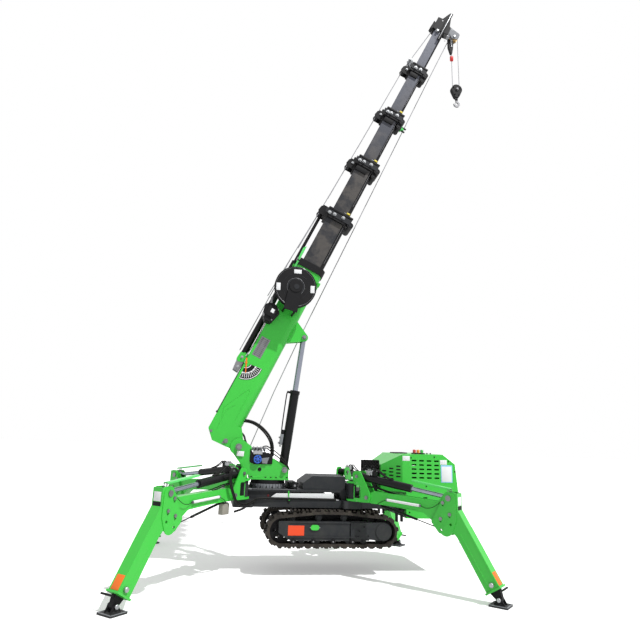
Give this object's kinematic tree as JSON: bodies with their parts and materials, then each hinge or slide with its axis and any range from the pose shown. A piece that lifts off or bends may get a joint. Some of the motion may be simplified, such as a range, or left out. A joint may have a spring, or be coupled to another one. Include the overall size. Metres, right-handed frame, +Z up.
{
  "type": "spider crane",
  "caption": "Compact crawler crane standing on its splayed outriggers, with a telescopic boom raised and its hook hanging.",
  "frame": {"origin": "on the ground under the middle of the machine's bounding box, level with the pads' undersides", "axes": "+X from the boom's foot towards the engine hood, along the tracks; +Y towards the side away from the cable reel; +Z up"},
  "size_m": [3.9456, 3.1956, 7.5968],
  "materials": {
    "body_green": "gloss",
    "frame_grey": "satin",
    "boom_black": "satin",
    "cylinder_black": "gloss",
    "rod_chrome": "polished",
    "bare_steel": "satin",
    "track_rubber": "matte",
    "sheave_bronze": "satin",
    "light_plastic": "gloss"
  },
  "bodies": {
    "base": {"chassis": "frame_grey", "deck_box": "frame_grey", "slewing_ring": "bare_steel", "slew_drive": "frame_grey", "track_near": "track_rubber", "track_far": "track_rubber", "track_frame_near": "frame_grey", "track_frame_far": "frame_grey", "track_wheels_near": "boom_black", "track_wheels_far": "boom_black", "engine_hood": "body_green", "engine": "boom_black", "outrigger_valves": "boom_black", "signal_lights": "light_plastic"},
    "turret": {"column": "body_green", "crane_valve": "boom_black"},
    "winch": {"winch_drum": "boom_black"},
    "boom": {"boom_base": "body_green", "telescope_cylinder": "cylinder_black"},
    "reel": {"cable_reel": "boom_black"},
    "section_2": {"boom_section_2": "boom_black"},
    "section_3": {"boom_section_3": "boom_black"},
    "section_4": {"boom_section_4": "boom_black"},
    "section_5": {"boom_section_5": "boom_black"},
    "section_6": {"boom_section_6": "boom_black", "boom_head": "boom_black"},
    "sheave": {"head_sheave": "sheave_bronze"},
    "fall": {"hoist_falls": "bare_steel", "hook_block": "boom_black"},
    "load_hook": {"hook": "bare_steel"},
    "luff_barrel": {"luff_barrel": "cylinder_black"},
    "luff_rod": {"luff_rod": "rod_chrome"},
    "swing_front_near": {"swing_bracket_front_near": "body_green"},
    "arm_front_near": {"arm_front_near": "body_green"},
    "stay_barrel_front_near": {"stay_barrel_front_near": "cylinder_black"},
    "stay_rod_front_near": {"stay_rod_front_near": "rod_chrome"},
    "leg_front_near": {"leg_front_near": "body_green"},
    "foot_front_near": {"foot_front_near": "bare_steel"},
    "swing_front_far": {"swing_bracket_front_far": "body_green"},
    "arm_front_far": {"arm_front_far": "body_green"},
    "stay_barrel_front_far": {"stay_barrel_front_far": "cylinder_black"},
    "stay_rod_front_far": {"stay_rod_front_far": "rod_chrome"},
    "leg_front_far": {"leg_front_far": "body_green"},
    "foot_front_far": {"foot_front_far": "bare_steel"},
    "swing_rear_near": {"swing_bracket_rear_near": "body_green"},
    "arm_rear_near": {"arm_rear_near": "body_green"},
    "stay_barrel_rear_near": {"stay_barrel_rear_near": "cylinder_black"},
    "stay_rod_rear_near": {"stay_rod_rear_near": "rod_chrome"},
    "leg_rear_near": {"leg_rear_near": "body_green"},
    "foot_rear_near": {"foot_rear_near": "bare_steel"},
    "swing_rear_far": {"swing_bracket_rear_far": "body_green"},
    "arm_rear_far": {"arm_rear_far": "body_green"},
    "stay_barrel_rear_far": {"stay_barrel_rear_far": "cylinder_black"},
    "stay_rod_rear_far": {"stay_rod_rear_far": "rod_chrome"},
    "leg_rear_far": {"leg_rear_far": "body_green"},
    "foot_rear_far": {"foot_rear_far": "bare_steel"}
  },
  "joints": [
    {"name": "slew", "type": "hinge", "parent": "base", "child": "turret", "pos_m": [-0.54, 0, 0.88], "axis": [0, 0, 1], "continuous": true},
    {"name": "luff", "type": "hinge", "parent": "turret", "child": "boom", "pos_m": [-0.8945, 0, 1.258], "axis": [0, -1, 0], "range_deg": [-63, 13]},
    {"name": "luff_barrel_swing", "type": "hinge", "parent": "turret", "child": "luff_barrel", "pos_m": [-0.376, 0, 1.03], "axis": [0, -1, 0], "range_deg": [-72.03, 14.94]},
    {"name": "luff_rod_slide", "type": "slide", "parent": "luff_barrel", "child": "luff_rod", "axis": [0.117, 0, 0.9931], "range_m": [-0.562, 0.1164]},
    {"name": "winch_turn", "type": "hinge", "parent": "turret", "child": "winch", "pos_m": [-0.65, 0, 1.03], "axis": [0, 1, 0], "continuous": true},
    {"name": "reel_turn", "type": "hinge", "parent": "boom", "child": "reel", "pos_m": [-0.36716, -0.3, 3.07983], "axis": [0, 1, 0], "continuous": true},
    {"name": "telescope_2", "type": "slide", "parent": "boom", "child": "section_2", "axis": [0.4226, 0, 0.9063], "range_m": [-0.65, 0.6]},
    {"name": "telescope_3", "type": "slide", "parent": "section_2", "child": "section_3", "axis": [0.4226, 0, 0.9063], "range_m": [-0.651, 0.601]},
    {"name": "telescope_4", "type": "slide", "parent": "section_3", "child": "section_4", "axis": [0.4226, 0, 0.9063], "range_m": [-0.651, 0.601]},
    {"name": "telescope_5", "type": "slide", "parent": "section_4", "child": "section_5", "axis": [0.4226, 0, 0.9063], "range_m": [-0.651, 0.601]},
    {"name": "telescope_6", "type": "slide", "parent": "section_5", "child": "section_6", "axis": [0.4226, 0, 0.9063], "range_m": [-0.651, 0.601]},
    {"name": "sheave_turn", "type": "hinge", "parent": "section_6", "child": "sheave", "pos_m": [1.89448, 0, 7.2177], "axis": [0, 1, 0], "continuous": true},
    {"name": "fall_swing", "type": "hinge", "parent": "section_6", "child": "fall", "pos_m": [1.89448, 0, 7.2177], "axis": [0, -1, 0], "range_deg": [-13.1, 63.1]},
    {"name": "hook_swivel", "type": "hinge", "parent": "fall", "child": "load_hook", "pos_m": [1.89448, 0, 6.1627], "axis": [0, 0, 1], "continuous": true},
    {"name": "swing_front_near", "type": "hinge", "parent": "base", "child": "swing_front_near", "pos_m": [-0.82, -0.33, 0.845], "axis": [0, 0, 1], "range_deg": [-28, 30]},
    {"name": "lift_front_near", "type": "hinge", "parent": "swing_front_near", "child": "arm_front_near", "pos_m": [-0.96186, -0.48755, 0.795], "axis": [-0.7431, 0.6691, 0], "range_deg": [-5, 65]},
    {"name": "stay_swing_front_near", "type": "hinge", "parent": "swing_front_near", "child": "stay_barrel_front_near", "pos_m": [-0.88156, -0.39837, 1], "axis": [-0.7431, 0.6691, 0], "range_deg": [-4.97, 63.37]},
    {"name": "stay_slide_front_near", "type": "slide", "parent": "stay_barrel_front_near", "child": "stay_rod_front_near", "axis": [-0.6635, -0.7369, -0.1299], "range_m": [-0.2543, 0.02]},
    {"name": "knee_front_near", "type": "hinge", "parent": "arm_front_near", "child": "leg_front_near", "pos_m": [-1.56608, -1.15861, 0.866], "axis": [0.7431, -0.6691, 0], "range_deg": [0, 38]},
    {"name": "foot_front_near", "type": "hinge", "parent": "leg_front_near", "child": "foot_front_near", "pos_m": [-1.85715, -1.48187, 0.056], "axis": [-0.7431, 0.6691, 0], "range_deg": [-20, 20]},
    {"name": "swing_front_far", "type": "hinge", "parent": "base", "child": "swing_front_far", "pos_m": [-0.82, 0.33, 0.845], "axis": [0, 0, -1], "range_deg": [-28, 30]},
    {"name": "lift_front_far", "type": "hinge", "parent": "swing_front_far", "child": "arm_front_far", "pos_m": [-0.96186, 0.48755, 0.795], "axis": [0.7431, 0.6691, 0], "range_deg": [-5, 65]},
    {"name": "stay_swing_front_far", "type": "hinge", "parent": "swing_front_far", "child": "stay_barrel_front_far", "pos_m": [-0.88156, 0.39837, 1], "axis": [0.7431, 0.6691, 0], "range_deg": [-4.97, 63.37]},
    {"name": "stay_slide_front_far", "type": "slide", "parent": "stay_barrel_front_far", "child": "stay_rod_front_far", "axis": [-0.6635, 0.7369, -0.1299], "range_m": [-0.2543, 0.02]},
    {"name": "knee_front_far", "type": "hinge", "parent": "arm_front_far", "child": "leg_front_far", "pos_m": [-1.56608, 1.15861, 0.866], "axis": [-0.7431, -0.6691, 0], "range_deg": [0, 38]},
    {"name": "foot_front_far", "type": "hinge", "parent": "leg_front_far", "child": "foot_front_far", "pos_m": [-1.85715, 1.48187, 0.056], "axis": [0.7431, 0.6691, 0], "range_deg": [-20, 20]},
    {"name": "swing_rear_near", "type": "hinge", "parent": "base", "child": "swing_rear_near", "pos_m": [0.35, -0.33, 0.845], "axis": [0, 0, -1], "range_deg": [-28, 30]},
    {"name": "lift_rear_near", "type": "hinge", "parent": "swing_rear_near", "child": "arm_rear_near", "pos_m": [0.49991, -0.47991, 0.795], "axis": [-0.7071, -0.7071, 0], "range_deg": [-5, 65]},
    {"name": "stay_swing_rear_near", "type": "hinge", "parent": "swing_rear_near", "child": "stay_barrel_rear_near", "pos_m": [0.41505, -0.39505, 1], "axis": [-0.7071, -0.7071, 0], "range_deg": [-4.97, 63.37]},
    {"name": "stay_slide_rear_near", "type": "slide", "parent": "stay_barrel_rear_near", "child": "stay_rod_rear_near", "axis": [0.7011, -0.7011, -0.1299], "range_m": [-0.2543, 0.02]},
    {"name": "knee_rear_near", "type": "hinge", "parent": "arm_rear_near", "child": "leg_rear_near", "pos_m": [1.13842, -1.11842, 0.866], "axis": [0.7071, 0.7071, 0], "range_deg": [0, 38]},
    {"name": "foot_rear_near", "type": "hinge", "parent": "leg_rear_near", "child": "foot_rear_near", "pos_m": [1.44602, -1.42602, 0.056], "axis": [-0.7071, -0.7071, 0], "range_deg": [-20, 20]},
    {"name": "swing_rear_far", "type": "hinge", "parent": "base", "child": "swing_rear_far", "pos_m": [0.35, 0.33, 0.845], "axis": [0, 0, 1], "range_deg": [-28, 30]},
    {"name": "lift_rear_far", "type": "hinge", "parent": "swing_rear_far", "child": "arm_rear_far", "pos_m": [0.49991, 0.47991, 0.795], "axis": [0.7071, -0.7071, 0], "range_deg": [-5, 65]},
    {"name": "stay_swing_rear_far", "type": "hinge", "parent": "swing_rear_far", "child": "stay_barrel_rear_far", "pos_m": [0.41505, 0.39505, 1], "axis": [0.7071, -0.7071, 0], "range_deg": [-4.97, 63.37]},
    {"name": "stay_slide_rear_far", "type": "slide", "parent": "stay_barrel_rear_far", "child": "stay_rod_rear_far", "axis": [0.7011, 0.7011, -0.1299], "range_m": [-0.2543, 0.02]},
    {"name": "knee_rear_far", "type": "hinge", "parent": "arm_rear_far", "child": "leg_rear_far", "pos_m": [1.13842, 1.11842, 0.866], "axis": [-0.7071, 0.7071, 0], "range_deg": [0, 38]},
    {"name": "foot_rear_far", "type": "hinge", "parent": "leg_rear_far", "child": "foot_rear_far", "pos_m": [1.44602, 1.42602, 0.056], "axis": [0.7071, -0.7071, 0], "range_deg": [-20, 20]}
  ],
  "couplings": [
    {"joint": "luff_barrel_swing", "follows": "luff", "ratio": 1.1417},
    {"joint": "luff_rod_slide", "follows": "luff", "m_per_rad": 0.5107},
    {"joint": "fall_swing", "follows": "luff", "ratio": -1},
    {"joint": "telescope_3", "follows": "telescope_2", "ratio": 1},
    {"joint": "telescope_4", "follows": "telescope_2", "ratio": 1},
    {"joint": "telescope_5", "follows": "telescope_2", "ratio": 1},
    {"joint": "telescope_6", "follows": "telescope_2", "ratio": 1},
    {"joint": "stay_swing_front_near", "follows": "lift_front_near", "ratio": 0.9733},
    {"joint": "stay_slide_front_near", "follows": "lift_front_near", "m_per_rad": -0.2237},
    {"joint": "stay_swing_front_far", "follows": "lift_front_far", "ratio": 0.9733},
    {"joint": "stay_slide_front_far", "follows": "lift_front_far", "m_per_rad": -0.2237},
    {"joint": "stay_swing_rear_near", "follows": "lift_rear_near", "ratio": 0.9733},
    {"joint": "stay_slide_rear_near", "follows": "lift_rear_near", "m_per_rad": -0.2237},
    {"joint": "stay_swing_rear_far", "follows": "lift_rear_far", "ratio": 0.9733},
    {"joint": "stay_slide_rear_far", "follows": "lift_rear_far", "m_per_rad": -0.2237}
  ]
}
